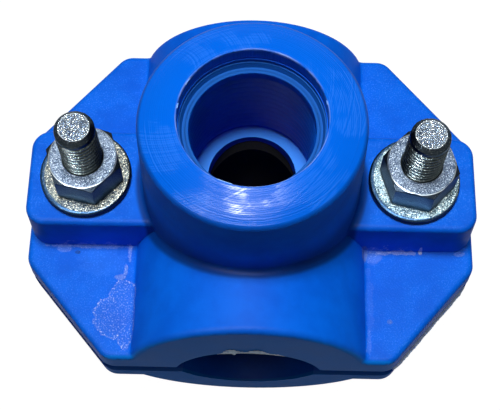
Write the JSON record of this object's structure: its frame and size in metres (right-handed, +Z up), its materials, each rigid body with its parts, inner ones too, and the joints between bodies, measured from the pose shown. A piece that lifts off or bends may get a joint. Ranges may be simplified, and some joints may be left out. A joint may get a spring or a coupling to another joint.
{
  "type": "tapping saddle",
  "caption": "Two-piece bolted clamp saddle for a plastic pipe, with an internally threaded outlet boss on its upper half.",
  "frame": {"origin": "where the axis of the pipe seat in the upper half crosses the axis of the outlet", "axes": "+Z up the outlet, +X from bolt to bolt, +Y along the pipe"},
  "size_m": [0.0944, 0.071, 0.0643],
  "materials": {
    "saddle_plastic": "moulded polypropylene, satin with a fine grain",
    "seal_rubber": "moulded nitrile rubber",
    "bolt_zinc": "zinc plated",
    "nut_zinc": "zinc plated",
    "washer_zinc": "zinc plated, grainy"
  },
  "bodies": {
    "lower_half": {"lower_body": "saddle_plastic", "bolt_left": "bolt_zinc", "bolt_right": "bolt_zinc"},
    "upper_half": {"upper_body": "saddle_plastic", "outlet_seal": "seal_rubber", "washer_left": "washer_zinc", "washer_right": "washer_zinc"},
    "nut_left": {"nut_left": "nut_zinc"},
    "nut_right": {"nut_right": "nut_zinc"}
  },
  "joints": [
    {"name": "halves_part", "type": "slide", "parent": "lower_half", "child": "upper_half", "axis": [0, 0, 1], "range_m": [-0.00313, 0.00875]},
    {"name": "nut_left_turn", "type": "hinge", "parent": "upper_half", "child": "nut_left", "pos_m": [-0.0337, 0, 0.0234], "axis": [0, 0, 1], "range_deg": [-900, 2520]},
    {"name": "nut_right_turn", "type": "hinge", "parent": "upper_half", "child": "nut_right", "pos_m": [0.0337, 0, 0.0234], "axis": [0, 0, 1], "range_deg": [-900, 2520]}
  ],
  "couplings": [
    {"joint": "nut_left_turn", "follows": "halves_part", "rad_per_m": 5026.5},
    {"joint": "nut_right_turn", "follows": "halves_part", "rad_per_m": 5026.5}
  ]
}
